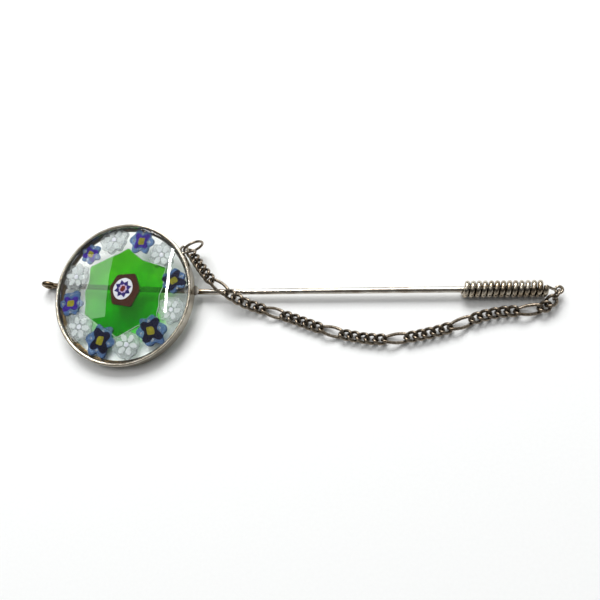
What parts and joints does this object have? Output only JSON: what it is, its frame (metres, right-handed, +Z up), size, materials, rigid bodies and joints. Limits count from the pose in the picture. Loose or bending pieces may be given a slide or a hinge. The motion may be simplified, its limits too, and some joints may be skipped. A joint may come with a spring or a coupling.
{
  "type": "hat pin",
  "caption": "Hat pin with a round glass disc of patterned canes in a silver bezel, a long stem, a coiled wire guard over the point and a figaro safety chain.",
  "frame": {"origin": "Middle of the pin's bounding box, on the table that it lies on", "axes": "+X along the stem towards its point, +Z up with the disc's face upwards, +Y to the side of the chain's eyelet"},
  "size_m": [0.0779, 0.022, 0.0049],
  "materials": {
    "polished_silver": "polished silver with a light warm tarnish",
    "stem_silver": "drawn silver wire, smooth, lightly tarnished",
    "coil_silver": "bright wire with dark tarnish between the turns",
    "oxidised_silver": "dark brown oxidised silver, worn bright on the high spots",
    "solder": "dull soft solder",
    "clear_glass": "clear polished glass with a faint grey cast",
    "green_glass": "transparent bright green glass",
    "cane_maroon": "opaque brown-maroon glass cane with a white star pattern in its end",
    "cane_blue": "translucent blue glass canes with a dark blue flower and a yellow middle",
    "cane_clear": "clear glass canes with a white flower"
  },
  "bodies": {
    "pin": {"bezel": "polished_silver", "bezel_eyelet": "polished_silver", "glass_disc": "clear_glass", "green_ground": "green_glass", "centre_cane": "cane_maroon", "blue_canes": "cane_blue", "clear_canes": "cane_clear", "pin_stem": "stem_silver", "stem_solder": "solder"},
    "guard": {"guard_coil": "coil_silver"},
    "jump_ring": {"jump_ring": "oxidised_silver"},
    "link_01": {"link_01_small": "oxidised_silver"},
    "link_02": {"link_02_small": "oxidised_silver"},
    "link_03": {"link_03_small": "oxidised_silver"},
    "link_04": {"link_04_small": "oxidised_silver"},
    "link_05": {"link_05_small": "oxidised_silver"},
    "link_06": {"link_06_small": "oxidised_silver"},
    "link_07": {"link_07_long": "oxidised_silver"},
    "link_08": {"link_08_small": "oxidised_silver"},
    "link_09": {"link_09_small": "oxidised_silver"},
    "link_10": {"link_10_small": "oxidised_silver"},
    "link_11": {"link_11_small": "oxidised_silver"},
    "link_12": {"link_12_small": "oxidised_silver"},
    "link_13": {"link_13_long": "oxidised_silver"},
    "link_14": {"link_14_small": "oxidised_silver"},
    "link_15": {"link_15_small": "oxidised_silver"},
    "link_16": {"link_16_small": "oxidised_silver"},
    "link_17": {"link_17_small": "oxidised_silver"},
    "link_18": {"link_18_small": "oxidised_silver"},
    "link_19": {"link_19_long": "oxidised_silver"},
    "link_20": {"link_20_small": "oxidised_silver"},
    "link_21": {"link_21_small": "oxidised_silver"},
    "link_22": {"link_22_small": "oxidised_silver"},
    "link_23": {"link_23_small": "oxidised_silver"},
    "link_24": {"link_24_small": "oxidised_silver"},
    "link_25": {"link_25_long": "oxidised_silver"},
    "link_26": {"link_26_small": "oxidised_silver"},
    "link_27": {"link_27_small": "oxidised_silver"},
    "link_28": {"link_28_small": "oxidised_silver"},
    "link_29": {"link_29_small": "oxidised_silver"},
    "link_30": {"link_30_small": "oxidised_silver"},
    "link_31": {"link_31_long": "oxidised_silver"},
    "link_32": {"link_32_small": "oxidised_silver"},
    "link_33": {"link_33_small": "oxidised_silver"},
    "link_34": {"link_34_small": "oxidised_silver"},
    "link_35": {"link_35_small": "oxidised_silver"},
    "link_36": {"link_36_small": "oxidised_silver"},
    "link_37": {"link_37_long": "oxidised_silver"},
    "link_38": {"link_38_small": "oxidised_silver"},
    "link_39": {"link_39_small": "oxidised_silver"},
    "end_ring": {"end_ring": "oxidised_silver"}
  },
  "joints": [
    {"name": "guard_slide", "type": "slide", "parent": "pin", "child": "guard", "axis": [1, 0, 0], "range_m": [-0.003, 0.00025]},
    {"name": "jump_ring_swing", "type": "hinge", "parent": "pin", "child": "jump_ring", "pos_m": [-0.01493, 0.00676, 0.00346], "axis": [0, 0, 1], "range_deg": [-5, 5]},
    {"name": "link_01_shift", "type": "slide", "parent": "pin", "child": "link_01", "axis": [1, 0, 0], "range_m": [-0.00306, 0.00028]},
    {"name": "link_02_shift", "type": "slide", "parent": "pin", "child": "link_02", "axis": [1, 0, 0], "range_m": [-0.00306, 0.00028]},
    {"name": "link_03_shift", "type": "slide", "parent": "pin", "child": "link_03", "axis": [1, 0, 0], "range_m": [-0.00306, 0.00028]},
    {"name": "link_04_shift", "type": "slide", "parent": "pin", "child": "link_04", "axis": [1, 0, 0], "range_m": [-0.00306, 0.00028]},
    {"name": "link_05_shift", "type": "slide", "parent": "pin", "child": "link_05", "axis": [1, 0, 0], "range_m": [-0.00306, 0.00028]},
    {"name": "link_06_shift", "type": "slide", "parent": "pin", "child": "link_06", "axis": [1, 0, 0], "range_m": [-0.00306, 0.00028]},
    {"name": "link_07_shift", "type": "slide", "parent": "pin", "child": "link_07", "axis": [1, 0, 0], "range_m": [-0.00306, 0.00028]},
    {"name": "link_08_shift", "type": "slide", "parent": "pin", "child": "link_08", "axis": [1, 0, 0], "range_m": [-0.00306, 0.00028]},
    {"name": "link_09_shift", "type": "slide", "parent": "pin", "child": "link_09", "axis": [1, 0, 0], "range_m": [-0.00306, 0.00028]},
    {"name": "link_10_shift", "type": "slide", "parent": "pin", "child": "link_10", "axis": [1, 0, 0], "range_m": [-0.00306, 0.00028]},
    {"name": "link_11_shift", "type": "slide", "parent": "pin", "child": "link_11", "axis": [1, 0, 0], "range_m": [-0.00306, 0.00028]},
    {"name": "link_12_shift", "type": "slide", "parent": "pin", "child": "link_12", "axis": [1, 0, 0], "range_m": [-0.00306, 0.00028]},
    {"name": "link_13_shift", "type": "slide", "parent": "pin", "child": "link_13", "axis": [1, 0, 0], "range_m": [-0.00306, 0.00028]},
    {"name": "link_14_shift", "type": "slide", "parent": "pin", "child": "link_14", "axis": [1, 0, 0], "range_m": [-0.00306, 0.00028]},
    {"name": "link_15_shift", "type": "slide", "parent": "pin", "child": "link_15", "axis": [1, 0, 0], "range_m": [-0.00306, 0.00028]},
    {"name": "link_16_shift", "type": "slide", "parent": "pin", "child": "link_16", "axis": [1, 0, 0], "range_m": [-0.00306, 0.00028]},
    {"name": "link_17_shift", "type": "slide", "parent": "pin", "child": "link_17", "axis": [1, 0, 0], "range_m": [-0.00306, 0.00028]},
    {"name": "link_18_shift", "type": "slide", "parent": "pin", "child": "link_18", "axis": [1, 0, 0], "range_m": [-0.00306, 0.00028]},
    {"name": "link_19_shift", "type": "slide", "parent": "pin", "child": "link_19", "axis": [1, 0, 0], "range_m": [-0.00306, 0.00028]},
    {"name": "link_20_shift", "type": "slide", "parent": "pin", "child": "link_20", "axis": [1, 0, 0], "range_m": [-0.00306, 0.00028]},
    {"name": "link_21_shift", "type": "slide", "parent": "pin", "child": "link_21", "axis": [1, 0, 0], "range_m": [-0.00306, 0.00028]},
    {"name": "link_22_shift", "type": "slide", "parent": "pin", "child": "link_22", "axis": [1, 0, 0], "range_m": [-0.00306, 0.00028]},
    {"name": "link_23_shift", "type": "slide", "parent": "pin", "child": "link_23", "axis": [1, 0, 0], "range_m": [-0.00306, 0.00028]},
    {"name": "link_24_shift", "type": "slide", "parent": "pin", "child": "link_24", "axis": [1, 0, 0], "range_m": [-0.00306, 0.00028]},
    {"name": "link_25_shift", "type": "slide", "parent": "pin", "child": "link_25", "axis": [1, 0, 0], "range_m": [-0.00306, 0.00028]},
    {"name": "link_26_shift", "type": "slide", "parent": "pin", "child": "link_26", "axis": [1, 0, 0], "range_m": [-0.00306, 0.00028]},
    {"name": "link_27_shift", "type": "slide", "parent": "pin", "child": "link_27", "axis": [1, 0, 0], "range_m": [-0.00306, 0.00028]},
    {"name": "link_28_shift", "type": "slide", "parent": "pin", "child": "link_28", "axis": [1, 0, 0], "range_m": [-0.00306, 0.00028]},
    {"name": "link_29_shift", "type": "slide", "parent": "pin", "child": "link_29", "axis": [1, 0, 0], "range_m": [-0.00306, 0.00028]},
    {"name": "link_30_shift", "type": "slide", "parent": "pin", "child": "link_30", "axis": [1, 0, 0], "range_m": [-0.00306, 0.00028]},
    {"name": "link_31_shift", "type": "slide", "parent": "pin", "child": "link_31", "axis": [1, 0, 0], "range_m": [-0.00306, 0.00028]},
    {"name": "link_32_shift", "type": "slide", "parent": "pin", "child": "link_32", "axis": [1, 0, 0], "range_m": [-0.00306, 0.00028]},
    {"name": "link_33_shift", "type": "slide", "parent": "pin", "child": "link_33", "axis": [1, 0, 0], "range_m": [-0.00306, 0.00028]},
    {"name": "link_34_shift", "type": "slide", "parent": "pin", "child": "link_34", "axis": [1, 0, 0], "range_m": [-0.00306, 0.00028]},
    {"name": "link_35_shift", "type": "slide", "parent": "pin", "child": "link_35", "axis": [1, 0, 0], "range_m": [-0.00306, 0.00028]},
    {"name": "link_36_shift", "type": "slide", "parent": "pin", "child": "link_36", "axis": [1, 0, 0], "range_m": [-0.00306, 0.00028]},
    {"name": "link_37_shift", "type": "slide", "parent": "pin", "child": "link_37", "axis": [1, 0, 0], "range_m": [-0.00306, 0.00028]},
    {"name": "link_38_shift", "type": "slide", "parent": "pin", "child": "link_38", "axis": [1, 0, 0], "range_m": [-0.00306, 0.00028]},
    {"name": "link_39_shift", "type": "slide", "parent": "pin", "child": "link_39", "axis": [1, 0, 0], "range_m": [-0.00306, 0.00028]},
    {"name": "end_ring_shift", "type": "slide", "parent": "pin", "child": "end_ring", "axis": [1, 0, 0], "range_m": [-0.00306, 0.00028]}
  ],
  "couplings": [
    {"joint": "jump_ring_swing", "follows": "guard_slide", "rad_per_m": 4},
    {"joint": "link_01_shift", "follows": "guard_slide", "ratio": 0.0072},
    {"joint": "link_02_shift", "follows": "guard_slide", "ratio": 0.0145},
    {"joint": "link_03_shift", "follows": "guard_slide", "ratio": 0.0217},
    {"joint": "link_04_shift", "follows": "guard_slide", "ratio": 0.0289},
    {"joint": "link_05_shift", "follows": "guard_slide", "ratio": 0.0362},
    {"joint": "link_06_shift", "follows": "guard_slide", "ratio": 0.0434},
    {"joint": "link_07_shift", "follows": "guard_slide", "ratio": 0.0507},
    {"joint": "link_08_shift", "follows": "guard_slide", "ratio": 0.0796},
    {"joint": "link_09_shift", "follows": "guard_slide", "ratio": 0.1085},
    {"joint": "link_10_shift", "follows": "guard_slide", "ratio": 0.1375},
    {"joint": "link_11_shift", "follows": "guard_slide", "ratio": 0.1664},
    {"joint": "link_12_shift", "follows": "guard_slide", "ratio": 0.1954},
    {"joint": "link_13_shift", "follows": "guard_slide", "ratio": 0.2243},
    {"joint": "link_14_shift", "follows": "guard_slide", "ratio": 0.2533},
    {"joint": "link_15_shift", "follows": "guard_slide", "ratio": 0.2822},
    {"joint": "link_16_shift", "follows": "guard_slide", "ratio": 0.3111},
    {"joint": "link_17_shift", "follows": "guard_slide", "ratio": 0.3401},
    {"joint": "link_18_shift", "follows": "guard_slide", "ratio": 0.369},
    {"joint": "link_19_shift", "follows": "guard_slide", "ratio": 0.398},
    {"joint": "link_20_shift", "follows": "guard_slide", "ratio": 0.4269},
    {"joint": "link_21_shift", "follows": "guard_slide", "ratio": 0.4559},
    {"joint": "link_22_shift", "follows": "guard_slide", "ratio": 0.4848},
    {"joint": "link_23_shift", "follows": "guard_slide", "ratio": 0.5137},
    {"joint": "link_24_shift", "follows": "guard_slide", "ratio": 0.5427},
    {"joint": "link_25_shift", "follows": "guard_slide", "ratio": 0.5716},
    {"joint": "link_26_shift", "follows": "guard_slide", "ratio": 0.6006},
    {"joint": "link_27_shift", "follows": "guard_slide", "ratio": 0.6295},
    {"joint": "link_28_shift", "follows": "guard_slide", "ratio": 0.6585},
    {"joint": "link_29_shift", "follows": "guard_slide", "ratio": 0.6874},
    {"joint": "link_30_shift", "follows": "guard_slide", "ratio": 0.7164},
    {"joint": "link_31_shift", "follows": "guard_slide", "ratio": 0.7453},
    {"joint": "link_32_shift", "follows": "guard_slide", "ratio": 0.7742},
    {"joint": "link_33_shift", "follows": "guard_slide", "ratio": 0.8032},
    {"joint": "link_34_shift", "follows": "guard_slide", "ratio": 0.8321},
    {"joint": "link_35_shift", "follows": "guard_slide", "ratio": 0.8611},
    {"joint": "link_36_shift", "follows": "guard_slide", "ratio": 0.89},
    {"joint": "link_37_shift", "follows": "guard_slide", "ratio": 0.919},
    {"joint": "link_38_shift", "follows": "guard_slide", "ratio": 0.9479},
    {"joint": "link_39_shift", "follows": "guard_slide", "ratio": 0.9653},
    {"joint": "end_ring_shift", "follows": "guard_slide", "ratio": 0.9826}
  ]
}
